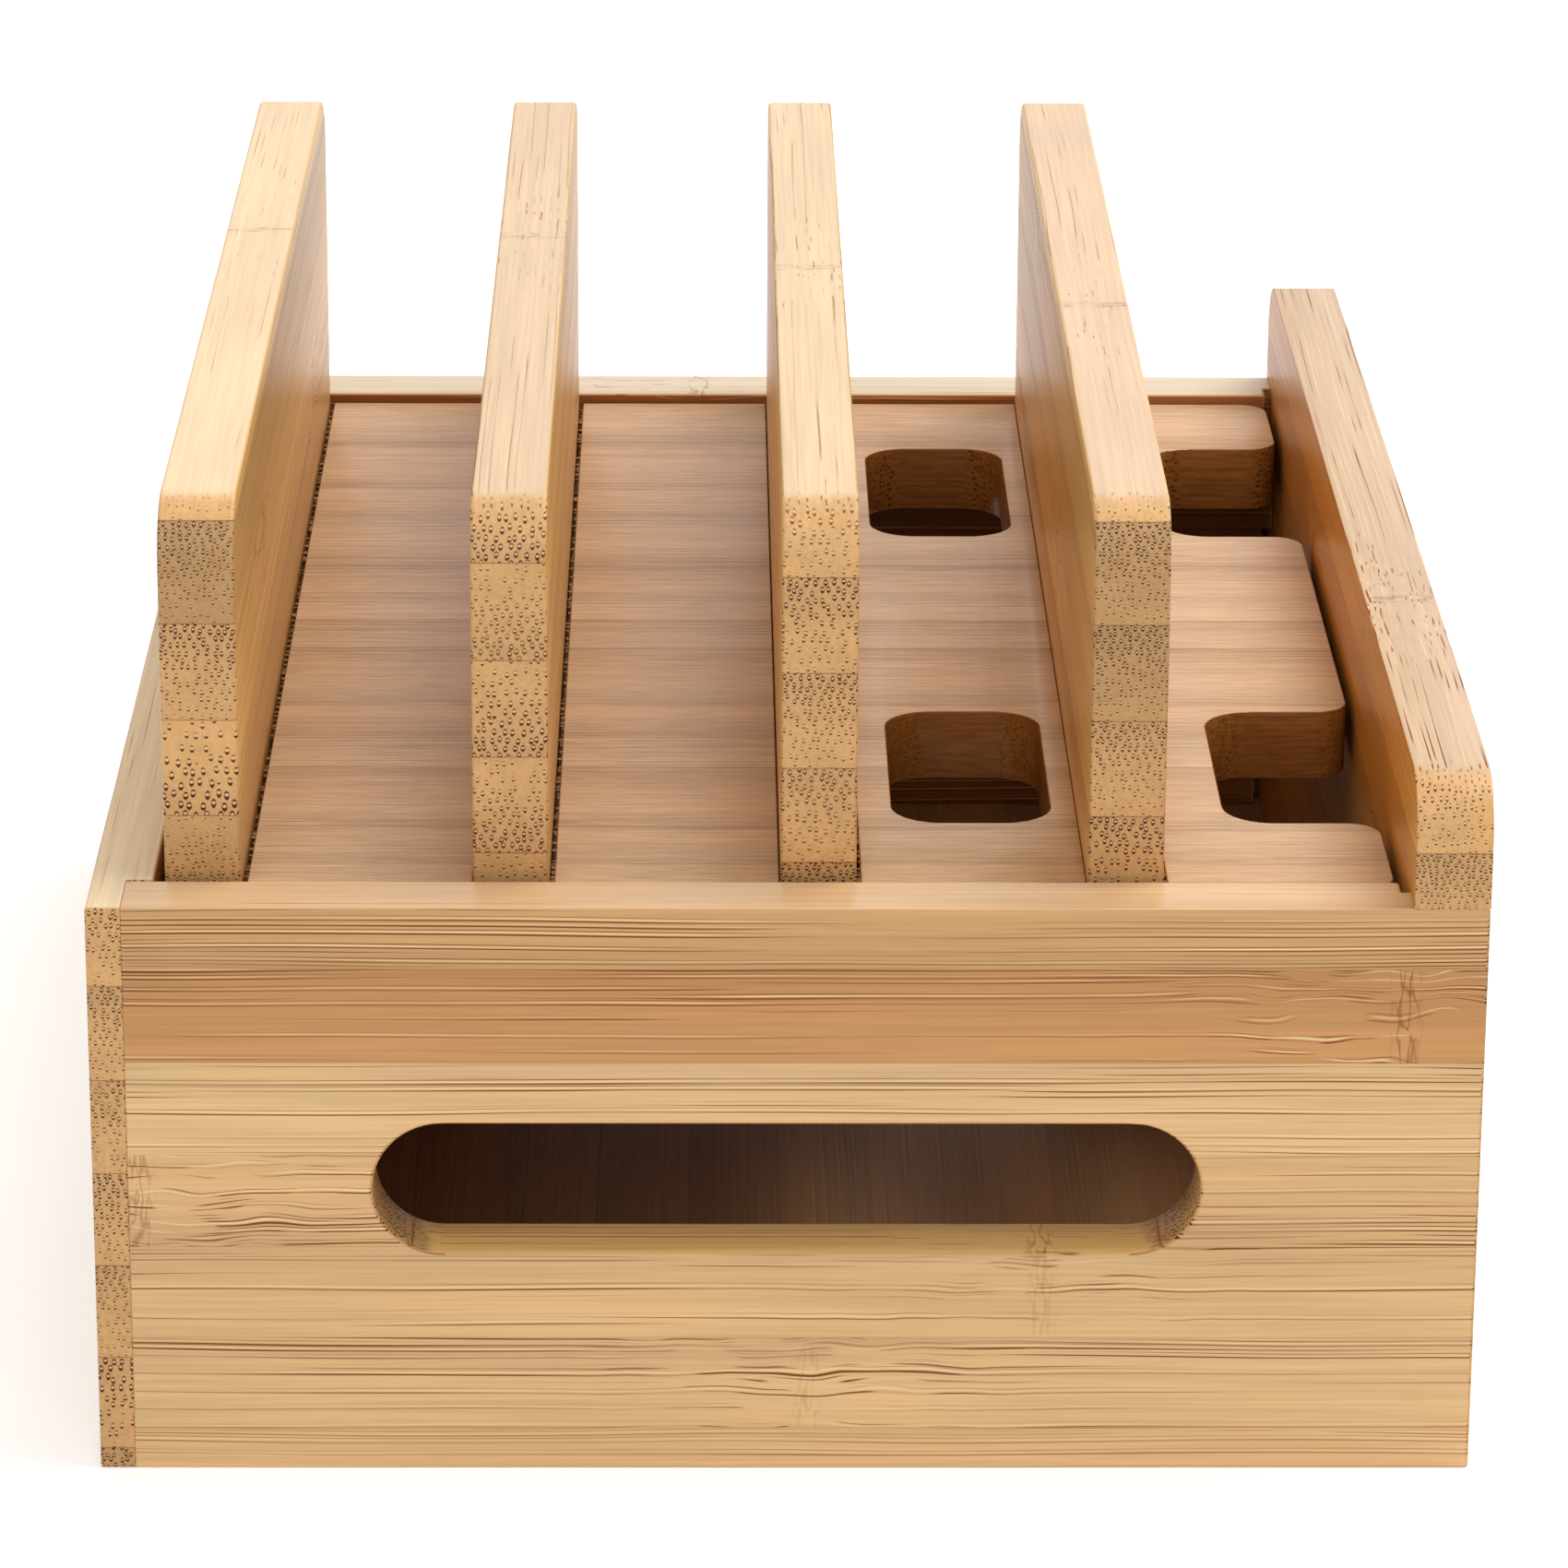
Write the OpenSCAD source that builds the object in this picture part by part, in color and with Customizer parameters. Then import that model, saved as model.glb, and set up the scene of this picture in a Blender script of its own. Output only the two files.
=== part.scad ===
// Charging station organizer in bamboo board: a low box that hides the charger and
// its cables, a lift-out deck with cable passages, four pull-out dividers and a
// front plate that stands above the box.
// X runs from the rear wall to the front plate, Y along the dividers, Z up.
// The origin is the centre of the footprint, on the surface the box stands on.

/* [Box] */
// Width over the rear wall and the front plate
box_w = 165; // [160:1:185]
// Length over the two end panels
box_l = 226; // [200:1:260]
// Height of the box walls
box_h = 72; // [66:1:95]
// Thickness of the rear wall
rear_t = 7.5; // [6.5:0.5:10]
// Part of the rear wall that covers the ends of the end panels
rear_lip = 4.2; // [3:0.1:5]
// Thickness of the two end panels
end_t = 9.5; // [8:0.5:13]
// Part of an end panel that covers the front plate's foot
end_lip = 6.2; // [4:0.1:7]

/* [Front plate] */
// Thickness of the front plate
plate_t = 9; // [7:0.5:12]
// Height of the front plate above the box walls
plate_rise = 15.5; // [10:0.5:25]
// Play of the front plate's foot in the end panels
plate_play = 0.9; // [0.5:0.1:1.5]

/* [Floor] */
// Thickness of the floor panel
floor_t = 5; // [4:0.5:8]
// Height of the floor panel's underside above the table
floor_rise = 3; // [2:0.5:6]
// Depth that the floor panel is let into each wall
floor_let = 3; // [2:0.5:3.5]

/* [End slots] */
// Length of the round-ended slot in each end panel
slot_l = 98.5; // [60:0.5:115]
// Height of that slot
slot_h = 16.6; // [12:0.2:20]
// Height of the slot's centre line above the table
slot_z = 36.4; // [30:0.2:40]

/* [Deck] */
// Thickness of the lift-out deck
deck_t = 9; // [7:0.5:12]
// Depth of the deck's top below the rim of the box
deck_drop = 1.2; // [0.6:0.2:3]
// Gap between the deck and the rear wall
deck_gap_rear = 1.2; // [0.6:0.1:2]
// Gap between the deck and the front plate
deck_gap_front = 1.1; // [0.6:0.1:2]
// Gap between the deck and each end panel
deck_gap_end = 1; // [0.5:0.1:2]
// Radius of the deck's outer corners
deck_r = 4; // [2:0.5:6]
// Height of the two ledgers that carry the deck
ledger_h = 8; // [5:0.5:9]
// Width of those ledgers
ledger_w = 8; // [5:0.5:12]

/* [Cable passages] */
// Length of each passage along the dividers
passage_l = 42; // [25:1:60]
// Distance between the centres of the two rows of passages
passage_pitch = 117; // [90:1:130]
// Width of the closed passages
passage_w = 19.5; // [14:0.5:20]
// Distance from a divider's groove to the closed passages
passage_margin = 4.3; // [3:0.1:5]
// Depth of the open notches in the deck's front edge
notch_d = 18.7; // [10:0.1:20]
// Corner radius of the passages and notches
passage_r = 6; // [4:0.5:6]

/* [Dividers] */
// Thickness of a divider
divider_t = 9; // [7:0.5:10]
// Height of a divider, with the part in its groove
divider_h = 52; // [40:1:75]
// Clear width of a compartment
compartment_w = 27.5; // [26:0.5:30]
// Depth of the grooves in the deck
groove_d = 5; // [3:0.5:5.5]
// Play of a divider on the rear side of its groove
groove_play_rear = 0.1; // [0.1:0.05:0.3]
// Play of a divider on the front side of its groove
groove_play_front = 0.6; // [0.3:0.1:1]
// Radius of the upper corners of the dividers and the front plate
corner_r = 8; // [3:0.5:9]

/* [Hidden] */
$fn = 96;

// How far a cutting solid runs past the face that it cuts
past = 1;

// Inner faces of the box
rear_x = -box_w / 2 + rear_t;
front_x = box_w / 2 - plate_t;
end_y = box_l / 2 - end_t;

// Deck and what stands on it
deck_x0 = rear_x + deck_gap_rear;
deck_x1 = front_x - deck_gap_front;
deck_l = 2 * (end_y - deck_gap_end);
deck_top = box_h - deck_drop;
deck_z = deck_top - deck_t;
divider_z = deck_top - groove_d;
divider_pitch = divider_t + compartment_w;
divider_count = 4;

// The closed passages lie in the compartment behind the last divider
passage_x = divider_x(divider_count - 2) + divider_t + groove_play_front + passage_margin;

// Board colours
bamboo = [0.84, 0.70, 0.51];
bamboo_top = [0.96, 0.86, 0.72];
bamboo_deck = [0.82, 0.70, 0.58];
bamboo_inside = [0.55, 0.38, 0.22];

// Rear face of a divider, counted from the rear wall
function divider_x(i) = deck_x0 + i * divider_pitch;

// Rectangle from the origin with its four corners rounded
module round_rect(size, r) {
    translate([r, 0]) square([size.x - 2 * r, size.y]);
    translate([0, r]) square([size.x, size.y - 2 * r]);
    for (x = [r, size.x - r], y = [r, size.y - r])
        translate([x, y]) circle(r);
}

// Upright board across X = 0 to t, centred on Y, with its two upper corners rounded
module round_top_board(t, l, h, r) {
    translate([0, -l / 2, 0])
        rotate([90, 0, 90])
            linear_extrude(t) {
                square([l, h - r]);
                translate([r, 0]) square([l - 2 * r, h]);
                for (y = [r, l - r])
                    translate([y, h - r]) circle(r);
            }
}

// Space that the floor panel fills, with its edges let into the walls
module floor_block() {
    translate([rear_x - floor_let, -end_y - floor_let, floor_rise])
        cube([front_x - rear_x + 2 * floor_let, 2 * (end_y + floor_let), floor_t]);
}

// Round-ended slot through an end panel, along Y from y = 0
module end_slot(depth) {
    straight = slot_l - slot_h;
    translate([-straight / 2, 0, slot_z - slot_h / 2])
        cube([straight, depth, slot_h]);
    for (x = [-straight / 2, straight / 2])
        translate([x, 0, slot_z])
            rotate([-90, 0, 0])
                cylinder(h = depth, d = slot_h);
}

// End panel at the near end: its rear end sits in the rear wall's rabbet, and its own
// rabbet takes the front plate's foot
module end_panel() {
    x0 = -box_w / 2 + rear_lip;
    color(bamboo)
        difference() {
            translate([x0, -box_l / 2, 0])
                cube([box_w / 2 - x0, end_t, box_h]);
            translate([front_x - plate_play, -box_l / 2 + end_lip, -past])
                cube([plate_t + plate_play + past, end_t, box_h + 2 * past]);
            translate([0, -box_l / 2 - past, 0])
                end_slot(end_t + 2 * past);
            floor_block();
        }
}

module near_end_panel() {
    end_panel();
}

module far_end_panel() {
    mirror([0, 1, 0]) end_panel();
}

// Full-length rear wall with a rabbet at each end and a groove for the floor
module rear_wall() {
    rabbet_x = -box_w / 2 + rear_lip;
    color(bamboo)
        difference() {
            translate([-box_w / 2, -box_l / 2, 0])
                cube([rear_t, box_l, box_h]);
            for (side = [-1, 1])
                translate([rabbet_x, side > 0 ? end_y : -end_y - end_t - past, -past])
                    cube([rear_t, end_t + past, box_h + 2 * past]);
            floor_block();
        }
}

// Front plate: a foot between the end panels and a full-length band above them
module front_plate() {
    foot_l = box_l - 2 * end_lip;
    color(bamboo_top)
        difference() {
            union() {
                translate([front_x, -foot_l / 2, 0])
                    cube([plate_t, foot_l, box_h]);
                translate([front_x, 0, box_h])
                    round_top_board(plate_t, box_l, plate_rise, corner_r);
            }
            floor_block();
        }
}

module floor_panel() {
    color(bamboo_inside) floor_block();
}

// Ledger that carries the deck at the near end
module ledger() {
    color(bamboo_inside)
        translate([rear_x, -end_y, deck_z - ledger_h])
            cube([front_x - rear_x, ledger_w, ledger_h]);
}

module near_ledger() {
    ledger();
}

module far_ledger() {
    mirror([0, 1, 0]) ledger();
}

// Outline of the deck, with its front corners and the mouths of the notches rounded
module deck_outline() {
    notch_x = deck_x1 - notch_d;
    difference() {
        union() {
            translate([deck_x0, -deck_l / 2])
                square([deck_x1 - deck_x0 - deck_r, deck_l]);
            for (part = deck_tongues())
                translate([notch_x - 2 * passage_r, part[0]])
                    round_rect([deck_x1 - notch_x + 2 * passage_r, part[1] - part[0]], deck_r);
        }
        for (side = [-1, 1])
            translate([notch_x, side * passage_pitch / 2 - passage_l / 2])
                round_rect([notch_d + passage_r, passage_l], passage_r);
    }
}

// Stretches of the deck's front edge between its ends and the notches
function deck_tongues() = let (
    outer = passage_pitch / 2 + passage_l / 2,
    inner = passage_pitch / 2 - passage_l / 2
) [[-deck_l / 2, -outer], [-inner, inner], [outer, deck_l / 2]];

// Lift-out deck with its grooves, closed passages and open notches
module deck() {
    color(bamboo_deck)
        difference() {
            translate([0, 0, deck_z])
                linear_extrude(deck_t) deck_outline();
            for (i = [0 : divider_count - 1])
                translate([divider_x(i) - groove_play_rear, -deck_l / 2 - past, divider_z])
                    cube([divider_t + groove_play_rear + groove_play_front,
                          deck_l + 2 * past, groove_d + past]);
            for (side = [-1, 1])
                translate([passage_x, side * passage_pitch / 2 - passage_l / 2, deck_z - past])
                    linear_extrude(deck_t + 2 * past)
                        round_rect([passage_w, passage_l], passage_r);
        }
}

// Divider number i, standing in its groove
module divider(i) {
    color(bamboo_top)
        translate([divider_x(i), 0, divider_z])
            round_top_board(divider_t, deck_l, divider_h, corner_r);
}

near_end_panel();
far_end_panel();
rear_wall();
front_plate();
floor_panel();
near_ledger();
far_ledger();
deck();
divider(0);  // divider_1
divider(1);  // divider_2
divider(2);  // divider_3
divider(3);  // divider_4
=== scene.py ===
# %% [markdown]
# # A charging station organizer in laminated bamboo
# This scene dresses a finished CAD model: a low open box of glued bamboo board, a lift-out deck with cable
# passages, and four dividers that stand loose in grooves of the deck. The CAD model fixes every size. Blender adds
# what the eye reads as bamboo: eased edges, torn fibres along the sawn grooves, and the grain itself.
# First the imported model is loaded. Everything is in metres: X runs from the rear wall to the front plate, Y along
# the dividers, Z up.

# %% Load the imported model
import math
import random

import bmesh
import bpy
from mathutils import Matrix, Vector


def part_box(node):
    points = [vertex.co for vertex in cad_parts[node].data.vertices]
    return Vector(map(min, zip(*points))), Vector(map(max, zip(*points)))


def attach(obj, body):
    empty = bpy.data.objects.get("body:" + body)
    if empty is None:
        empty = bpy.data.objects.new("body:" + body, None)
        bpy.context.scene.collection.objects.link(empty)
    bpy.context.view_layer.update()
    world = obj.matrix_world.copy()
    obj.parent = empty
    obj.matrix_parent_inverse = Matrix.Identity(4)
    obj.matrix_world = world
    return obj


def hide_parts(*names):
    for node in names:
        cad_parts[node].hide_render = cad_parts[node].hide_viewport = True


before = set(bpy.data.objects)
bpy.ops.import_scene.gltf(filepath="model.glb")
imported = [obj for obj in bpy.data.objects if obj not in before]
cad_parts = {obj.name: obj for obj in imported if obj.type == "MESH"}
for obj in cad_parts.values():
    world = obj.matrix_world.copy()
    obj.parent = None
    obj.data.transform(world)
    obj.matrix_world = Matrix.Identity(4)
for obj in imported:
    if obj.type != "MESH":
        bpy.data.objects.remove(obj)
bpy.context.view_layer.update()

mm = 0.001
print("nodes:", sorted(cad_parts))

# %% [markdown]
# ## One helper for node trees
# Materials and Geometry Nodes are both trees of nodes. One small function adds a node, sets what it is told and
# feeds its sockets, with a link where it is given another node's output and with a plain value otherwise. Colours
# are written as the sRGB hex values that a painter would read off a swatch, and turned to linear light here.

# %% Add a node, turn a hex colour to linear
def add(tree, kind, feeds=(), out=0, **settings):
    made = tree.nodes.new(kind)
    for name, value in settings.items():
        setattr(made, name, value)
    pairs = feeds.items() if isinstance(feeds, dict) else enumerate(feeds)
    for place, value in pairs:
        if isinstance(value, bpy.types.NodeSocket):
            tree.links.new(value, made.inputs[place])
        elif value is not None:
            made.inputs[place].default_value = value
    return made.outputs if out is None or not made.outputs else made.outputs[out]


def linear(hex_colour):
    parts = [int(hex_colour[i:i + 2], 16) / 255 for i in (1, 3, 5)]
    return tuple(c / 12.92 if c <= 0.04045 else ((c + 0.055) / 1.055) ** 2.4 for c in parts) + (1.0,)


MATH, VECTOR, RANGE, MIX = "ShaderNodeMath", "ShaderNodeVectorMath", "ShaderNodeMapRange", "ShaderNodeMix"
print("a pale bamboo in linear light:", [round(c, 3) for c in linear("#DDB688")[:3]])

# %% [markdown]
# ## What bamboo looks like
# Bamboo board is not sawn from a trunk. The wall of the hollow stem is split into strips, planed, and glued side by
# side, so a board shows parallel strips about 12 mm wide with thin seams. Inside each strip run thousands of fibre
# bundles. Cut across, a bundle is a pale pore between two dark brown caps, 0.5 to 0.7 mm over all. Bundles crowd
# together near the stem's outer skin and thin out inwards, so each strip is dense along one seam and open along
# the other. Cut lengthwise, the same bundles become long brown lines with a pale line beside them.
#
# One solid pattern therefore does every face: it is built in the plane across the fibres and only wanders slowly
# along them. End faces then show dots, long faces show lines, and a rounded corner shows dots that stretch into
# lines, with no seam between them. The group below works in a board's own axes, in millimetres: X along the
# fibres, Y across a strip, Z from strip to strip.

# %% The solid pattern of laminated bamboo
def make_bamboo_pattern():
    tree = bpy.data.node_groups.new("laminated_bamboo", "ShaderNodeTree")
    sockets = (("Place", "Vector"), ("Facing", "Vector"), ("Strip number", "Float"), ("Up the strip", "Float"),
               ("Strip height", "Float"), ("Seed", "Float"), ("Strip card", "Color"), ("Bundle card", "Color"),
               ("Ground", "Color"), ("Painted lit top", "Color"), ("End grain", "Color"), ("Cap", "Color"), ("Pore", "Color"),
               ("Line strength", "Float"), ("Fibre scale", "Vector"), ("Fibre contrast", "Float"))
    for name, kind in sockets:
        tree.interface.new_socket(name, in_out="INPUT", socket_type="NodeSocket" + kind)
    for name, kind in (("Colour", "Color"), ("Caps", "Float")):
        tree.interface.new_socket(name, in_out="OUTPUT", socket_type="NodeSocket" + kind)
    given = tree.nodes.new("NodeGroupInput").outputs
    place, up_strip, tall = given["Place"], given["Up the strip"], given["Strip height"]
    tone, culm, pink = add(tree, "ShaderNodeSeparateColor", [given["Strip card"]], out=None)
    size, skin_up, bold = add(tree, "ShaderNodeSeparateColor", [given["Bundle card"]], out=None)

    # how far a face looks along the fibres (1 on end grain) and how far it looks up
    faces = add(tree, "ShaderNodeSeparateXYZ", [given["Facing"]], out=None)
    ended = add(tree, MATH, [faces["X"]], operation="ABSOLUTE")
    ended = add(tree, RANGE, [ended, 0.1, 0.45, 0.0, 1.0], interpolation_type="SMOOTHSTEP")
    topped = add(tree, RANGE, [faces["Z"], 0.75, 0.99, 0.0, 1.0], interpolation_type="SMOOTHSTEP")

    # every strip comes from another stem, so each starts the pattern somewhere else
    pair = add(tree, "ShaderNodeCombineXYZ", [given["Strip number"], given["Seed"]])
    chance = add(tree, "ShaderNodeTexWhiteNoise", {"Vector": pair}, out=1, noise_dimensions="2D")
    start = add(tree, VECTOR, [chance, (90.0, 90.0, 90.0)], operation="MULTIPLY")
    down_strip = add(tree, MATH, [1.0, up_strip], operation="SUBTRACT")
    depth = add(tree, MIX, {0: skin_up, 2: down_strip, 3: up_strip})

    # a stem has a joint every 250 mm or so: there the fibres swirl
    along = add(tree, "ShaderNodeSeparateXYZ", [place])
    joint = add(tree, MATH, [culm, 250.0, -125.0], operation="MULTIPLY_ADD")
    off = add(tree, MATH, [add(tree, MATH, [along, joint], operation="SUBTRACT")], operation="ABSOLUTE")
    swirl_zone = add(tree, RANGE, [off, 38.0, 0.0, 0.0, 1.0], interpolation_type="SMOOTHSTEP")
    knot_zone = add(tree, RANGE, [off, 2.4, 0.4, 0.0, 1.0], interpolation_type="SMOOTHSTEP")

    # bundles wander slowly, and much more beside a joint
    slow = add(tree, VECTOR, [place, (0.016, 0.1, 0.1), start], operation="MULTIPLY_ADD")
    wander = add(tree, "ShaderNodeTexNoise", {"Vector": slow, "Scale": 1.0, "Detail": 1.0}, out=1)
    wander = add(tree, VECTOR, [wander, (-0.5, -0.5, -0.5)], operation="ADD")
    quick = add(tree, VECTOR, [place, (0.085, 0.16, 0.16), start], operation="MULTIPLY_ADD")
    swirl = add(tree, "ShaderNodeTexNoise", {"Vector": quick, "Scale": 1.0, "Detail": 1.0}, out=1)
    swirl = add(tree, VECTOR, [swirl, (-0.5, -0.5, -0.5)], operation="ADD")
    crumpled = add(tree, RANGE, [bold, 0.8, 1.0, 0.5, 1.0])
    swirl = add(tree, VECTOR, {0: add(tree, VECTOR, [swirl, (0.0, 2.0, 5.0)], operation="MULTIPLY"),
                               "Scale": add(tree, MATH, [swirl_zone, crumpled], operation="MULTIPLY")},
                operation="SCALE")
    moved = add(tree, VECTOR, [wander, (1.5, 1.5, 1.5), swirl], operation="MULTIPLY_ADD")
    _, drift_across, drift_up = add(tree, "ShaderNodeSeparateXYZ", [moved], out=None)
    moved = add(tree, VECTOR, [add(tree, VECTOR, [place, start], operation="ADD"), moved], operation="ADD")
    across = add(tree, "ShaderNodeSeparateXYZ", [moved], out=1)

    # rows of bundles: 1.35 mm apart in the open part of a strip, closing up to 0.9 mm at the skin
    sign = add(tree, MATH, [skin_up, 2.0, -1.0], operation="MULTIPLY_ADD")
    deep = add(tree, MATH, [add(tree, MATH, [drift_up, tall], operation="DIVIDE"), sign, depth],
               operation="MULTIPLY_ADD")
    scale = add(tree, MATH, [size, 2.0], operation="MULTIPLY")
    squeeze = add(tree, MATH, [deep, 0.5, 1.0], operation="MULTIPLY_ADD")
    rows = add(tree, MATH, [add(tree, MATH, [deep, 0.25, 1.0], operation="MULTIPLY_ADD"), deep],
               operation="MULTIPLY")
    rows = add(tree, MATH, [rows, add(tree, MATH, [tall, 1 / 1.35], operation="MULTIPLY")], operation="MULTIPLY")
    rows = add(tree, MATH, [rows, scale], operation="DIVIDE")
    columns = add(tree, MATH, [add(tree, MATH, [across, 1 / 1.05], operation="MULTIPLY"), scale],
                  operation="DIVIDE")
    columns = add(tree, MATH, [rows, 0.5, columns], operation="MULTIPLY_ADD")
    spot = add(tree, "ShaderNodeCombineXYZ", [columns, rows])
    found = add(tree, "ShaderNodeTexVoronoi", {"Vector": spot, "Scale": 1.0, "Randomness": 0.5}, out=None,
                voronoi_dimensions="2D")
    du, dv, _ = add(tree, "ShaderNodeSeparateXYZ",
                    [add(tree, VECTOR, [spot, found["Position"]], operation="SUBTRACT")], out=None)
    du = add(tree, MATH, [add(tree, MATH, [dv, -0.5, du], operation="MULTIPLY_ADD"), 1.05], operation="MULTIPLY")
    dv = add(tree, MATH, [add(tree, MATH, [dv, 1.35], operation="MULTIPLY"), squeeze], operation="DIVIDE")
    dv = add(tree, MATH, [dv, sign], operation="MULTIPLY")
    luck, other, _ = add(tree, "ShaderNodeSeparateColor", [found["Color"]], out=None)
    likely = add(tree, RANGE, [deep, 0.0, 0.7, 0.7, 1.0])
    here = add(tree, MATH, [luck, likely], operation="LESS_THAN")

    # each bundle is an oval with a pale pore in it, set high, so that a thick cap is left under the pore and a
    # thin one over it; the caps grow towards the skin
    narrow = add(tree, MATH, [topped, 4.0, add(tree, MATH, [ended, 1.5, 2.6], operation="MULTIPLY_ADD")],
                 operation="MULTIPLY_ADD")
    oval = add(tree, "ShaderNodeCombineXYZ", [add(tree, MATH, [du, narrow], operation="MULTIPLY"), dv])
    outer = add(tree, VECTOR, [add(tree, VECTOR, [oval, (1.0, 2.5, 0.0)], operation="MULTIPLY")], out=1,
                operation="LENGTH")
    outer = add(tree, MATH, [outer, add(tree, RANGE, [deep, 0.0, 1.0, 0.14, -0.08])], operation="ADD")
    outer = add(tree, MATH, [swirl_zone, -0.16, outer], operation="MULTIPLY_ADD")
    outer = add(tree, RANGE, [outer, 1.1, 0.86, 0.0, 1.0], interpolation_type="SMOOTHSTEP")
    inner = add(tree, VECTOR, [add(tree, VECTOR, [oval, (1.0, 5.6, 0.0), (0.0, -0.34, 0.0)],
                                   operation="MULTIPLY_ADD")], out=1, operation="LENGTH")
    thick = add(tree, MATH, [deep, 0.3, add(tree, MATH, [ended, 0.45, -0.6], operation="MULTIPLY_ADD")],
                operation="MULTIPLY_ADD")
    cap = add(tree, RANGE, [add(tree, MATH, [inner, thick], operation="ADD"), 0.75, 1.15, 0.0, 1.0],
              interpolation_type="SMOOTHSTEP")
    cap = add(tree, MATH, [cap, add(tree, MATH, [outer, here], operation="MULTIPLY")], operation="MULTIPLY")

    # beside a joint the long bundles break up into short strokes
    stroke_at = add(tree, VECTOR, [moved, (0.1, 0.6, 0.6)], operation="MULTIPLY")
    stroke = add(tree, "ShaderNodeTexNoise", {"Vector": stroke_at, "Scale": 1.0, "Detail": 0.0})
    stroke = add(tree, RANGE, [stroke, 0.46, 0.54, -1.0, 0.0], interpolation_type="SMOOTHSTEP")
    cap = add(tree, MATH, [cap, add(tree, MATH, [stroke, swirl_zone, 1.0], operation="MULTIPLY_ADD")],
              operation="MULTIPLY")
    pore = add(tree, RANGE, [inner, 0.75, 0.2, 0.0, 1.0], interpolation_type="SMOOTHSTEP")
    pore = add(tree, MATH, [pore, here], operation="MULTIPLY")

    # ground tissue: the strip's own tone, cloudy patches, and fine fibres between the bundles
    cloud_at = add(tree, VECTOR, [place, (0.02, 0.2, 0.28), start], operation="MULTIPLY_ADD")
    cloud = add(tree, "ShaderNodeTexNoise", {"Vector": cloud_at, "Scale": 1.0, "Detail": 1.0})
    patchy = add(tree, RANGE, [cloud, 0.38, 0.58, 0.45, 1.1])
    cloud = add(tree, RANGE, [cloud, 0.3, 0.7, 0.95, 1.05])
    fine_at = add(tree, VECTOR, [place, given["Fibre scale"], start], operation="MULTIPLY_ADD")
    fine = add(tree, "ShaderNodeTexNoise", {"Vector": fine_at, "Scale": 1.0, "Detail": 2.0, "Roughness": 0.6})
    fine = add(tree, RANGE, [fine, 0.35, 0.65, -1.0, 1.0])
    fine = add(tree, MATH, [fine, given["Fibre contrast"], 1.0], operation="MULTIPLY_ADD")
    crowding = add(tree, RANGE, [depth, 0.3, 1.0, 1.03, 0.92], interpolation_type="SMOOTHSTEP")
    light = add(tree, MATH, [add(tree, MATH, [tone, 1.25], operation="MULTIPLY"), cloud], operation="MULTIPLY")
    light = add(tree, MATH, [add(tree, MATH, [light, fine], operation="MULTIPLY"), crowding],
                operation="MULTIPLY")
    ground = add(tree, VECTOR, [given["Ground"], (1.0, 0.75, 0.56)], operation="MULTIPLY")
    ground = add(tree, MIX, {0: pink, 6: given["Ground"], 7: ground}, out=2, data_type="RGBA")

    # faces that look up take the paler top colour: a painted highlight from the light above
    ground = add(tree, MIX, {0: topped, 6: ground, 7: given["Painted lit top"]}, out=2, data_type="RGBA")

    # cut across the fibres the caps are dark dots; cut along them they are softer lines
    ground = add(tree, MIX, {0: ended, 6: ground, 7: given["End grain"]}, out=2, data_type="RGBA")
    ground = add(tree, VECTOR, {0: ground, "Scale": light}, operation="SCALE")
    dark_cap = add(tree, VECTOR, [given["Cap"], (0.36, 0.16, 0.05)], operation="MULTIPLY")
    cap_colour = add(tree, MIX, {0: ended, 6: given["Cap"], 7: dark_cap}, out=2, data_type="RGBA")
    strength = add(tree, MATH, [given["Line strength"], patchy], operation="MULTIPLY")
    strength = add(tree, MIX, {0: ended, 2: strength, 3: 1.15})
    strength = add(tree, MATH, [strength, add(tree, MATH, [other, 0.2, 0.8], operation="MULTIPLY_ADD")],
                   operation="MULTIPLY")
    strength = add(tree, MATH, [strength, bold], operation="MULTIPLY")
    strength = add(tree, MATH, [strength, add(tree, MATH, [topped, -0.3, 1.0], operation="MULTIPLY_ADD")],
                   operation="MULTIPLY")
    pore = add(tree, MATH, [pore, add(tree, MATH, [ended, -0.3, 0.8], operation="MULTIPLY_ADD")],
               operation="MULTIPLY")
    colour = add(tree, MIX, {0: add(tree, MATH, [pore, strength], operation="MULTIPLY"), 6: ground,
                             7: given["Pore"]}, out=2, data_type="RGBA")
    colour = add(tree, MIX, {0: add(tree, MATH, [cap, strength], operation="MULTIPLY"), 6: colour,
                             7: cap_colour}, out=2, data_type="RGBA")

    # seams between strips, and the crumpled line across a stem joint, both in the brown of the caps
    edge = add(tree, MATH, [up_strip, down_strip], operation="MINIMUM")
    edge = add(tree, MATH, [edge, tall], operation="MULTIPLY")
    seam = add(tree, RANGE, [edge, 0.11, 0.03, 0.0, 1.0], interpolation_type="SMOOTHSTEP")
    seam = add(tree, MATH, [seam, add(tree, MIX, {0: ended, 2: 0.22, 3: 0.6})], operation="MULTIPLY")
    crumple_at = add(tree, VECTOR, [moved, (0.9, 0.2, 0.2)], operation="MULTIPLY")
    crumple = add(tree, "ShaderNodeTexNoise", {"Vector": crumple_at, "Scale": 1.0, "Detail": 1.0})
    crumple = add(tree, MATH, [add(tree, MATH, [crumple, 0.5], operation="SUBTRACT")], operation="ABSOLUTE")
    crumple = add(tree, RANGE, [crumple, 0.07, 0.0, 0.0, 0.65], interpolation_type="SMOOTHSTEP")
    crumple = add(tree, MATH, [crumple, knot_zone], operation="MULTIPLY")
    calm = add(tree, MIX, {0: topped, 2: add(tree, RANGE, [bold, 0.8, 1.0, 0.3, 1.0]), 3: 0.8})
    crumple = add(tree, MATH, [crumple, calm], operation="MULTIPLY")
    marks = add(tree, MATH, [seam, crumple], operation="MAXIMUM")
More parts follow.
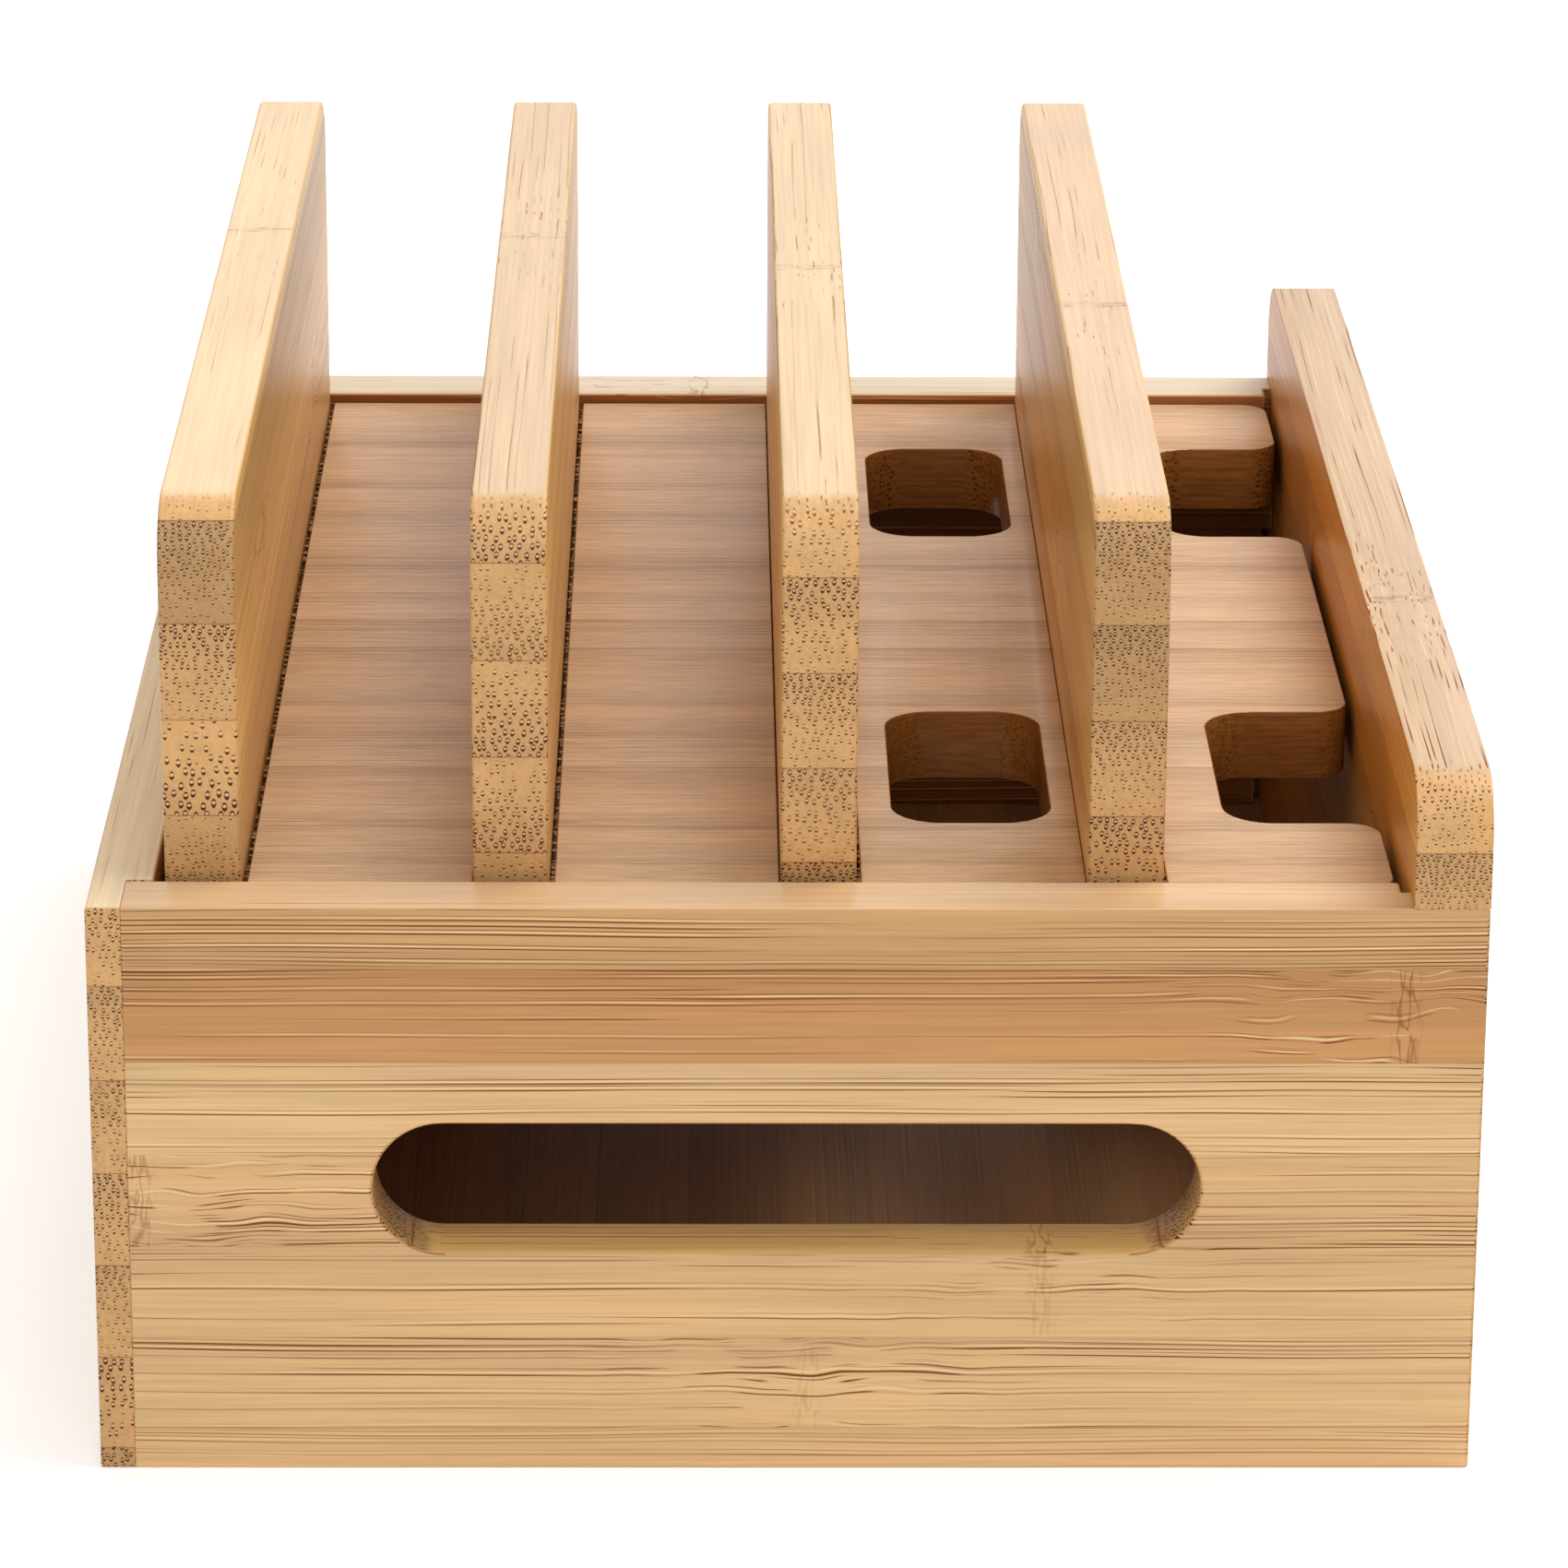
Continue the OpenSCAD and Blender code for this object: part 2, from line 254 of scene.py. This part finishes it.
    colour = add(tree, MIX, {0: marks, 6: colour, 7: given["Cap"]}, out=2, data_type="RGBA")
    result = tree.nodes.new("NodeGroupOutput").inputs
    for name, socket in (("Colour", colour), ("Caps", cap)):
        tree.links.new(socket, result[name])
    return tree


bamboo_pattern = make_bamboo_pattern()
print("bamboo pattern:", len(bamboo_pattern.nodes), "nodes")

# %% [markdown]
# ## One finish for each board
# The finish is laminated bamboo, planed, sanded and wiped with a clear oil. The oil leaves a satin surface, with
# roughness near 0.36 and an index of refraction of 1.5. It soaks into end grain, which is why that looks deeper.
# Each board was glued up from its own strips, so a board has its own row of strip cards, from the lowest seam up.
# A card says how light the strip is, where its stem joint lies along it in millimetres, how pink it is from the
# steaming that browns bamboo, how large its bundles are, whether the stem's skin is its upper side, and how dark
# its caps are. Constant colour ramps hand the right card to the strip that is being shaded.

# %% Bamboo finish for a board
def bamboo(name, turn, seam, cards, first=0, seed=0, ground="#E0B67F", top=None, end="#CFA16A", cap="#7E420C", pore="#EFD6A8",
           strip=11.8, lines=1.0, fibre=((0.03, 1.9, 1.9), 0.07)):
    material = bpy.data.materials.new("oiled_bamboo_" + name)
    material.use_nodes = True
    tree = material.node_tree
    tree.nodes.clear()
    spot = add(tree, "ShaderNodeTexCoord", out=None)
    turned = tuple(math.radians(a) for a in turn)
    place = add(tree, "ShaderNodeMapping", {"Vector": spot["Object"], "Rotation": turned, "Scale": (1000.0,) * 3})
    facing = add(tree, "ShaderNodeMapping", {"Vector": spot["Normal"], "Rotation": turned}, vector_type="NORMAL")
    height = add(tree, "ShaderNodeSeparateXYZ", [place], out=2)
    count = add(tree, MATH, [height, 1 / strip, -seam / strip], operation="MULTIPLY_ADD")
    number = add(tree, MATH, [count], operation="FLOOR")
    along_row = add(tree, MATH, [number, 1 / len(cards), (0.5 - first) / len(cards)], operation="MULTIPLY_ADD")
    group = tree.nodes.new("ShaderNodeGroup")
    group.node_tree = bamboo_pattern
    for socket, row in (("Strip card", [(c[0] / 1.25, (c[1] + 125) / 250, c[2]) for c in cards]),
                        ("Bundle card", [(c[3] / 2, c[4], c[5]) for c in cards])):
        ramp = tree.nodes.new("ShaderNodeValToRGB")
        ramp.color_ramp.interpolation = "CONSTANT"
        while len(ramp.color_ramp.elements) < len(row):
            ramp.color_ramp.elements.new(0.99)
        for i, card in enumerate(row):
            ramp.color_ramp.elements[i].position = i / len(row)
            ramp.color_ramp.elements[i].color = (*card, 1.0)
        tree.links.new(along_row, ramp.inputs[0])
        tree.links.new(ramp.outputs[0], group.inputs[socket])
    for socket, value in (("Place", place), ("Facing", facing), ("Strip number", number),
                          ("Up the strip", add(tree, MATH, [count], operation="FRACT"))):
        tree.links.new(value, group.inputs[socket])
    for socket, value in (("Strip height", strip), ("Seed", seed), ("Ground", linear(ground)),
                          ("Painted lit top", linear(top or ground)), ("End grain", linear(end)), ("Cap", linear(cap)), ("Pore", linear(pore)),
                          ("Line strength", lines), ("Fibre scale", fibre[0]), ("Fibre contrast", fibre[1])):
        group.inputs[socket].default_value = value
    fibre_at = add(tree, VECTOR, [place, (0.04, 1.6, 1.6)], operation="MULTIPLY")
    fibre = add(tree, "ShaderNodeTexNoise", {"Vector": fibre_at, "Scale": 1.0, "Detail": 1.0})
    bump = add(tree, "ShaderNodeBump", {"Strength": 0.35, "Distance": 0.12 * mm, "Height": fibre})
    dull = add(tree, RANGE, [group.outputs["Caps"], 0.0, 1.0, 0.36, 0.5])
    shader = add(tree, "ShaderNodeBsdfPrincipled",
                 {"Base Color": group.outputs["Colour"], "Roughness": dull, "Specular IOR Level": 0.25, "IOR": 1.5,
                  "Normal": bump})
    add(tree, "ShaderNodeOutputMaterial", {"Surface": shader})
    return material


def cards_by_chance(count, seed, tones=(0.94, 1.05), pinks=(0.0, 0.4), joints=(-125, 125), sizes=(0.85, 1.15),
                    bolds=(0.6, 1.0)):
    draw = random.Random(seed)
    return [(draw.uniform(*tones), draw.uniform(*joints), draw.uniform(*pinks), draw.uniform(*sizes),
             draw.choice((0, 1, 1)), draw.uniform(*bolds)) for _ in range(count)]


ALONG_X, ALONG_Y = (0, 0, 0), (0, 0, -90)
none = 124
# pale, and every top colour in the recipes, is a painted highlight and sheen on upward faces
golden, pale = "#DCB068", "#E1C29A"
recipes = {
    "near_end_panel": dict(turn=ALONG_X, seam=5.4, first=-1, seed=3, ground="#DCB582", top="#E7BF90", lines=1.3, cards=[
        # the two lowest strips have lighter cards: painted light at the panel's foot
        (1.2, none, 0.0, 1.0, 1, 0.5), (1.05, 2.6, 0.0, 1.0, 1, 0.8), (1.0, 30.5, 0.1, 1.0, 1, 0.8),
        (0.98, -77, 0.2, 0.9, 0, 0.9), (1.04, none, 0.0, 0.9, 1, 0.85), (0.78, 73, 0.9, 0.9, 1, 1.0),
        (0.88, none, 0.5, 0.85, 0, 1.0)]),
    "far_end_panel": dict(turn=ALONG_X, seam=5.4, first=-1, seed=17, ground="#DCB582", top="#DCC9AE", lines=1.3,
                          cards=cards_by_chance(7, 11)),
    "rear_wall": dict(turn=ALONG_Y, seam=2.7, first=-1, seed=29, strip=11.9, ground="#DCB57C", top="#EFD6AE", cards=[
        (1.0, 60, 0.2, 0.9, 1, 0.9), (1.02, -40, 0.1, 1.1, 1, 1.0), (1.0, none, 0.1, 0.85, 1, 0.8),
        (1.0, 90, 0.1, 0.85, 1, 1.0), (1.0, -90, 0.1, 0.85, 1, 0.9), (1.0, 20, 0.1, 0.85, 1, 0.9),
        (1.02, none, 0.1, 0.9, 1, 0.9)]),
    "front_plate": dict(turn=ALONG_Y, seam=-3.6, seed=31, ground="#DCAF70", top="#CEAE8C", lines=1.6, cards=cards_by_chance(6, 8) + [
        (0.97, 30, 0.3, 0.75, 1, 0.95), (1.05, -42.5, 0.2, 0.8, 1, 0.9)]),
    # the floor panel and the ledgers, seen only through the passages, have dark grounds: painted shade of the box's
    # inside
    "floor_panel": dict(turn=(90, 90, 0), seam=0.0, first=-8, seed=37, ground="#B88A5A", lines=0.6,
                        cards=cards_by_chance(15, 9, joints=(none, none), bolds=(0.2, 0.3))),
    "near_ledger": dict(turn=ALONG_X, seam=50.0, seed=41, ground="#8A6238", lines=0.6, cards=cards_by_chance(2, 2)),
    "far_ledger": dict(turn=ALONG_X, seam=50.0, seed=43, ground="#8A6238", lines=0.6, cards=cards_by_chance(2, 3)),
    "deck": dict(turn=(90, 0, 0), seam=0.0, first=-9, seed=47, ground="#D3AE86", lines=1.3,
                 fibre=((0.16, 3.2, 3.2), 0.15), cards=[
        # the tones rise 0.8% a strip from front to rear: painted shade, darker at the front
        (card[0] * (0.9 + 0.008 * i), *card[1:]) for i, card in enumerate(cards_by_chance(
            18, 21, tones=(0.95, 1.04), pinks=(0.0, 0.2), joints=(none, none), sizes=(0.55, 0.8)))]),
    # the darker cards of the dividers' lowest strips are painted shade towards the deck
    "divider_1": dict(turn=ALONG_Y, seam=56.0, seed=53, strip=11.9, ground=golden, top=pale, cards=[
        (0.89, none, 0.1, 0.85, 1, 0.8), (0.89, none, 0.2, 0.85, 0, 0.8), (1.09, 60, 0.0, 1.3, 0, 1.0),
        (1.0, -50, 0.1, 0.9, 1, 1.0), (0.77, none, 0.2, 0.8, 1, 0.9), (1.05, 24, 0.0, 0.8, 1, 0.7)]),
    "divider_2": dict(turn=ALONG_Y, seam=63.2, seed=59, strip=11.97, ground=golden, top="#DBBB96", cards=[
        (0.86, none, 0.2, 1.0, 0, 0.8), (1.0, -30, 0.1, 1.0, 0, 0.9), (1.0, 40, 0.1, 1.05, 0, 0.95),
        (1.0, -70, 0.1, 1.0, 0, 0.8), (1.0, 21, 0.0, 1.0, 0, 0.9)]),
    "divider_3": dict(turn=ALONG_Y, seam=62.2, seed=61, ground=golden, top=pale, cards=[
        (0.88, none, 0.2, 0.85, 1, 1.0), (1.02, 50, 0.0, 1.0, 1, 0.8), (1.0, -60, 0.1, 0.85, 1, 0.95),
        (1.0, 90, 0.1, 1.0, 1, 0.95), (1.05, 5, 0.0, 1.0, 1, 0.8)]),
    # divider_4's ground is lighter than the others: painted light that lifts its shaded side
    "divider_4": dict(turn=ALONG_Y, seam=56.0, seed=67, strip=11.9, ground="#E8BA71", top="#DBB997", cards=[
        (0.95, none, 0.2, 0.9, 1, 0.9), (0.96, 70, 0.2, 1.0, 1, 1.0), (0.97, -20, 0.1, 0.85, 1, 0.9),
        (0.78, none, 0.2, 0.8, 1, 1.0), (0.8, 45, 0.1, 0.8, 1, 1.0), (1.0, -13, 0.0, 0.85, 1, 0.9)]),
}
# the inner faces, the slot and the deck's upright walls get darker, browner finishes: painted shade for the inside of
# the box and its recesses; the paler top of the end panels' inside finish is a painted highlight on the slot's floor
shade_painted_inner_faces = {
    "near_end_panel": dict(ground="#B07A45", top="#FACA7E"), "far_end_panel": dict(ground="#A0683A", top="#FACA7E"),
    "rear_wall": dict(ground="#C0905A"), "front_plate": dict(ground="#CF9446", lines=0.8),
    "deck": dict(ground="#94602E", end="#96622C", cap="#633614", pore="#A87236", lines=0.5, fibre=((0.22, 2.2, 2.2), 0.2))}
finishes = {node: bamboo(node, **recipe) for node, recipe in recipes.items()}
finishes.update({node + "_inside": bamboo(node + "_inside", **{**recipes[node], **change})
                 for node, change in shade_painted_inner_faces.items()})
print("finishes:", len(finishes))

# %% [markdown]
# ## The glued boards of the box, and the deck
# The box parts and the deck were sawn, routed and then sanded, which takes the sharpness off every edge. The CAD
# solids have the right shape but knife edges and loose triangles. Each board is a copy of its CAD mesh with its
# doubles merged and its flat faces joined again, and a Bevel modifier eases the edges by a few tenths of a
# millimetre. The eased edge catches the light as the thin bright line that real boards have.

# %% Ease the boards
glue_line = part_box("near_end_panel")[0].x


def eased_board(node, body, ease):
    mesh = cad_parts[node].data.copy()
    mesh.name = node + "_eased"
    work = bmesh.new()
    work.from_mesh(mesh)
    bmesh.ops.remove_doubles(work, verts=work.verts, dist=0.001 * mm)
    bmesh.ops.dissolve_limit(work, angle_limit=math.radians(0.5), verts=work.verts, edges=work.edges)
    bmesh.ops.recalc_face_normals(work, faces=work.faces)
    weight = work.edges.layers.float.new("bevel_weight_edge")
    for edge in work.edges:
        if edge.calc_face_angle(0.0) > math.radians(40):
            glued = all(abs(vertex.co.x - glue_line) < 0.05 * mm for vertex in edge.verts)
            edge[weight] = 0.2 if glued else 1.0
    work.to_mesh(mesh)
    work.free()
    for name in list(mesh.uv_layers.keys()):
        mesh.uv_layers.remove(mesh.uv_layers[name])
    piece = bpy.data.objects.new(node + "_board", mesh)
    bpy.context.scene.collection.objects.link(piece)
    return finish_board(piece, node, body, ease, "WEIGHT")


def finish_board(piece, node, body, ease, limit="ANGLE"):
    piece.data.materials.clear()
    piece.data.materials.append(finishes[node])
    piece.data.shade_smooth()
    bevel = piece.modifiers.new("eased edges", "BEVEL")
    bevel.width = ease * mm
    bevel.segments = 3
    bevel.limit_method = limit
    bevel.angle_limit = math.radians(40)
    bevel.harden_normals = True
    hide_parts(node)
    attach(piece, body)
    return piece


for node, ease in (("near_end_panel", 0.45), ("far_end_panel", 0.45), ("rear_wall", 0.45), ("front_plate", 0.55),
                   ("floor_panel", 0.2), ("near_ledger", 0.4), ("far_ledger", 0.4)):
    eased_board(node, "box", ease)
eased_board("deck", "deck_board", 0.22)
inward = {"near_end_panel": Vector((0, 1, 0)), "far_end_panel": Vector((0, -1, 0)), "rear_wall": Vector((1, 0, 0)),
          "front_plate": Vector((-1, 0, 0))}
slot_end, slot_foot, slot_head = 50 * mm, 28 * mm, 45 * mm
# faces that look into the box, the slot's faces and the deck's upright walls take the painted-shade finish
for node in shade_painted_inner_faces:
    board = bpy.data.objects[node + "_board"]
    board.data.materials.append(finishes[node + "_inside"])
    for face in board.data.polygons:
        inner = abs(face.normal.z) < 0.5 if node == "deck" else face.normal.dot(inward[node]) > 0.9
        slot = "panel" in node and abs(face.normal.y) < 0.5 and abs(face.center.x) < slot_end and \
            slot_foot < face.center.z < slot_head
        face.material_index = 1 if inner or slot else 0

# %% [markdown]
# ## Four dividers by one rule
# The dividers are the same board four times: a flat blank whose two upper corners are rounded. That is a rule, so
# Geometry Nodes make it: a rectangle curve, a fillet that acts only on the upper corners, a fill, and an
# extrusion to the board's thickness. The sizes are the tree's named inputs, read here from the CAD boxes.

# %% A tree for a board with rounded upper corners
def make_divider_tree():
    tree = bpy.data.node_groups.new("divider_board", "GeometryNodeTree")
    for name, kind in (("Length", "Float"), ("Height", "Float"), ("Thickness", "Float"), ("Corner radius", "Float"),
                       ("Foot", "Vector"), ("Finish", "Material")):
        tree.interface.new_socket(name, in_out="INPUT", socket_type="NodeSocket" + kind)
    tree.interface.new_socket("Geometry", in_out="OUTPUT", socket_type="NodeSocketGeometry")
    size = tree.nodes.new("NodeGroupInput").outputs
    blank = add(tree, "GeometryNodeCurvePrimitiveQuadrilateral", {"Width": size["Length"], "Height": size["Height"]})
    level = add(tree, "ShaderNodeSeparateXYZ", [add(tree, "GeometryNodeInputPosition")], out=1)
    upper = add(tree, MATH, [level, 0.0], operation="GREATER_THAN")
    radius = add(tree, MATH, [upper, size["Corner radius"]], operation="MULTIPLY")
    outline = add(tree, "GeometryNodeFilletCurve", {"Curve": blank, "Count": 14, "Radius": radius}, mode="POLY")
    face = add(tree, "GeometryNodeFillCurve", {"Curve": outline}, mode="NGONS")
    slab = add(tree, "GeometryNodeExtrudeMesh",
               {"Mesh": face, "Offset Scale": size["Thickness"], "Individual": False}, mode="FACES")
    back = add(tree, "GeometryNodeFlipFaces", {"Mesh": face})
    both = tree.nodes.new("GeometryNodeJoinGeometry")
    tree.links.new(slab, both.inputs[0])
    tree.links.new(back, both.inputs[0])
    closed = add(tree, "GeometryNodeMergeByDistance", {"Geometry": both.outputs[0], "Distance": 0.001 * mm})
    lift = add(tree, "ShaderNodeCombineXYZ", {"Z": add(tree, MATH, [size["Height"], 0.5], operation="MULTIPLY")})
    spot = add(tree, VECTOR, [size["Foot"], lift], operation="ADD")
    upright = add(tree, "GeometryNodeTransform",
                  {"Geometry": closed, "Translation": spot, "Rotation": (math.pi / 2, 0.0, math.pi / 2)})
    real = add(tree, "GeometryNodeRealizeInstances", {"Geometry": upright})
    painted = add(tree, "GeometryNodeSetMaterial", {"Geometry": real, "Material": size["Finish"]})
    tree.links.new(painted, tree.nodes.new("NodeGroupOutput").inputs[0])
    return tree


def grow(name, tree, values):
    """Runs a tree on an empty mesh, with its inputs set by name, and returns the result as a plain object."""
    seed_object = bpy.data.objects.new(name + "_tree", bpy.data.meshes.new(name + "_empty"))
    bpy.context.scene.collection.objects.link(seed_object)
    modifier = seed_object.modifiers.new(name, "NODES")
    modifier.node_group = tree
    for item in tree.interface.items_tree:
        if item.in_out == "INPUT" and item.name in values:
            modifier[item.identifier] = values[item.name]
    graph = bpy.context.evaluated_depsgraph_get()
    mesh = bpy.data.meshes.new_from_object(seed_object.evaluated_get(graph), depsgraph=graph)
    bpy.data.objects.remove(seed_object)
    mesh.name = name
    work = bmesh.new()
    work.from_mesh(mesh)
    bmesh.ops.remove_doubles(work, verts=work.verts, dist=0.001 * mm)
    bmesh.ops.recalc_face_normals(work, faces=work.faces)
    work.to_mesh(mesh)
    work.free()
    grown = bpy.data.objects.new(name, mesh)
    bpy.context.scene.collection.objects.link(grown)
    return grown


divider_tree = make_divider_tree()
for i in range(1, 5):
    node = f"divider_{i}"
    low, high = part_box(node)
    size = high - low
    board = grow(node + "_board", divider_tree, {
        "Length": size.y, "Height": size.z, "Thickness": size.x, "Corner radius": 8 * mm,
        "Foot": (low.x, (low.y + high.y) / 2, low.z), "Finish": finishes[node]})
    finish_board(board, node, f"divider_board_{i}", 0.5)
    print(board.name, "faces:", len(board.data.polygons), "size mm:", [round(s / mm, 1) for s in size])

# %% [markdown]
# ## Torn fibres along the grooves
# The grooves cross the deck's fibres nowhere else than at their long edges: the saw leaves fibre ends there, which
# tear and stick out into the gap beside each divider. Such slivers repeat along a straight line, so Geometry Nodes
# place them: points along the edge, shaken a little, and a small four-sided wedge on each. They stay within the
# 0.6 mm gap, so they never touch a divider when it is pulled out.

# %% A tree for slivers along an edge
def make_sliver_tree():
    tree = bpy.data.node_groups.new("torn_fibres", "GeometryNodeTree")
    for name, kind in (("Start", "Vector"), ("Length", "Float"), ("Spacing", "Float"), ("Reach", "Float"),
                       ("Seed", "Int"), ("Finish", "Material")):
        tree.interface.new_socket(name, in_out="INPUT", socket_type="NodeSocket" + kind)
    tree.interface.new_socket("Geometry", in_out="OUTPUT", socket_type="NodeSocketGeometry")
    size = tree.nodes.new("NodeGroupInput").outputs
    number = add(tree, MATH, [size["Length"], size["Spacing"]], operation="DIVIDE")
    step = add(tree, "ShaderNodeCombineXYZ", {"Y": size["Spacing"]})
    row = add(tree, "GeometryNodeMeshLine", {"Count": number, "Start Location": size["Start"], "Offset": step},
              mode="OFFSET")
    shake = add(tree, "FunctionNodeRandomValue",
                {"Min": (0.0, -0.9 * mm, -0.3 * mm), "Max": (0.0, 0.9 * mm, 0.05 * mm), "Seed": size["Seed"]},
                data_type="FLOAT_VECTOR")
    row = add(tree, "GeometryNodeSetPosition", {"Geometry": row, "Offset": shake})
    wedge = add(tree, "GeometryNodeMeshCone",
                {"Vertices": 4, "Radius Top": 0.3, "Radius Bottom": 0.5, "Depth": 1.0}, fill_type="NGON")
    tilt = add(tree, "FunctionNodeRandomValue",
               {"Min": (0.0, -1.75, -0.35), "Max": (0.0, -1.4, 0.35), "Seed": size["Seed"]},
               data_type="FLOAT_VECTOR")
    deep = add(tree, "ShaderNodeCombineXYZ", {"X": 0.22 * mm, "Y": 0.9 * mm, "Z": size["Reach"]})
    shrink = add(tree, "FunctionNodeRandomValue",
                 {"Min": (0.4, 0.3, 0.0), "Max": (1.0, 1.3, 1.0), "Seed": size["Seed"]},
                 data_type="FLOAT_VECTOR")
    deep = add(tree, VECTOR, [deep, shrink], operation="MULTIPLY")
    slivers = add(tree, "GeometryNodeInstanceOnPoints",
                  {"Points": row, "Instance": wedge, "Rotation": tilt, "Scale": deep})
    real = add(tree, "GeometryNodeRealizeInstances", {"Geometry": slivers})
    painted = add(tree, "GeometryNodeSetMaterial", {"Geometry": real, "Material": size["Finish"]})
    tree.links.new(painted, tree.nodes.new("NodeGroupOutput").inputs[0])
    return tree


sliver_tree = make_sliver_tree()
rows = []
# the slivers take the deck's darker inside finish: painted shade in the gap
for i in range(1, 5):
    low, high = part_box(f"divider_{i}")
    edge = Vector((high.x + 0.62 * mm, low.y + 1.5 * mm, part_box("deck")[1].z - 0.3 * mm))
    rows.append(grow(f"groove_{i}_fibres", sliver_tree, {
        "Start": edge, "Length": high.y - low.y - 3 * mm, "Spacing": 0.75 * mm, "Reach": 0.6 * mm, "Seed": i,
        "Finish": finishes["deck_inside"]}))
with bpy.context.temp_override(active_object=rows[0], selected_editable_objects=rows, selected_objects=rows):
    bpy.ops.object.join()
torn_fibres = rows[0]
torn_fibres.name = "groove_fibres"
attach(torn_fibres, "deck_board")
print("slivers:", len(torn_fibres.data.polygons) // 6)

# %% [markdown]
# ## Floor and light
# A white sweep with plain soft light: an overhead softbox a little behind the piece, and a broad one in front. The
# camera sees white where the world shows, and so do reflections, while the object itself is lit at a level where
# a colour comes out about as it is written. The floor is pale and keeps a soft shadow.

# %% White floor, white world, two softboxes
def make_floor():
    bpy.ops.mesh.primitive_plane_add(size=12)
    floor = bpy.context.object
    floor.name = "studio_floor"
    material = bpy.data.materials.new("white_paper_sweep")
    material.use_nodes = True
    tree = material.node_tree
    tree.nodes.clear()
    spot = add(tree, "ShaderNodeTexCoord", out=3)
    tooth = add(tree, "ShaderNodeTexNoise", {"Vector": spot, "Scale": 900.0, "Detail": 2.0})
    colour = add(tree, MIX, {0: tooth, 6: linear("#F4F4F3"), 7: linear("#F8F8F8")}, out=2, data_type="RGBA")
    paper = add(tree, "ShaderNodeBsdfDiffuse", {"Color": colour})
    glow = add(tree, "ShaderNodeEmission", {"Color": (1.0, 1.0, 1.0, 1.0), "Strength": 0.34})
    lit = add(tree, "ShaderNodeAddShader", [paper, glow])
    sees = add(tree, "ShaderNodeLightPath", out=None)
    seen = add(tree, MATH, [sees["Is Camera Ray"], sees["Is Glossy Ray"]], operation="MAXIMUM")
    seen = add(tree, MATH, [seen, sees["Is Transmission Ray"]], operation="MAXIMUM")
    shown = add(tree, "ShaderNodeMixShader", [seen, paper, lit])
    add(tree, "ShaderNodeOutputMaterial", {"Surface": shown})
    floor.data.materials.append(material)
    return floor


def make_world(level):
    world = bpy.data.worlds.new("white_studio")
    bpy.context.scene.world = world
    world.use_nodes = True
    tree = world.node_tree
    tree.nodes.clear()
    sees = add(tree, "ShaderNodeLightPath", out=None)
    seen = add(tree, MATH, [sees["Is Camera Ray"], sees["Is Glossy Ray"]], operation="MAXIMUM")
    seen = add(tree, MATH, [seen, sees["Is Transmission Ray"]], operation="MAXIMUM")
    strength = add(tree, MIX, {0: seen, 2: level, 3: 1.0})
    sky = add(tree, "ShaderNodeBackground", {"Color": (1.0, 1.0, 1.0, 1.0), "Strength": strength})
    add(tree, "ShaderNodeOutputWorld", {"Surface": sky})
    return world


def softbox(name, place, target, width, power):
    lamp = bpy.data.lights.new(name, "AREA")
    lamp.shape = "SQUARE"
    lamp.size = width
    lamp.energy = power
    holder = bpy.data.objects.new(name, lamp)
    holder.location = place
    aim = Vector(target) - Vector(place)
    holder.rotation_euler = aim.to_track_quat("-Z", "Y").to_euler()
    bpy.context.scene.collection.objects.link(holder)
    return holder


make_floor()
make_world(0.48)
softbox("overhead_softbox", (0.55, 0.2, 1.3), (0, 0, 0.05), 1.0, 14.0)
softbox("front_softbox", (-0.2, -1.1, 1.1), (0, 0, 0.04), 1.2, 7.5)

# %% [markdown]
# ## Camera
# The camera stands where fitting the box's measured corners put it: in front of the near end panel, a little
# behind the rear wall's side, looking 19 degrees down through a long lens.

# %% Camera at the viewing angle
def make_camera(place, down, swing, roll, lens):
    p, y, r = (math.radians(a) for a in (down, swing, roll))
    ahead = Vector((math.sin(y) * math.cos(p), math.cos(y) * math.cos(p), -math.sin(p)))
    right = Vector((math.cos(y), -math.sin(y), 0))
    up = right.cross(ahead)
    across = math.cos(r) * right + math.sin(r) * up
    upward = -math.sin(r) * right + math.cos(r) * up
    turn = Matrix((across, upward, -ahead)).transposed().to_4x4()
    data = bpy.data.cameras.new("camera")
    data.lens = lens
    data.sensor_width = 36
    data.clip_start = 0.01
    data.clip_end = 50
    camera = bpy.data.objects.new("camera", data)
    camera.matrix_world = Matrix.Translation(Vector(place) * mm) @ turn
    bpy.context.scene.collection.objects.link(camera)
    bpy.context.scene.camera = camera
    return camera


camera = make_camera((-9.968, -866.49, 353.27), 19.4238, 0.7128, 0.3119, 157.55)
bpy.context.scene.view_settings.view_transform = "Standard"
print("camera at", [round(c, 3) for c in camera.location], "lens", round(camera.data.lens, 2))
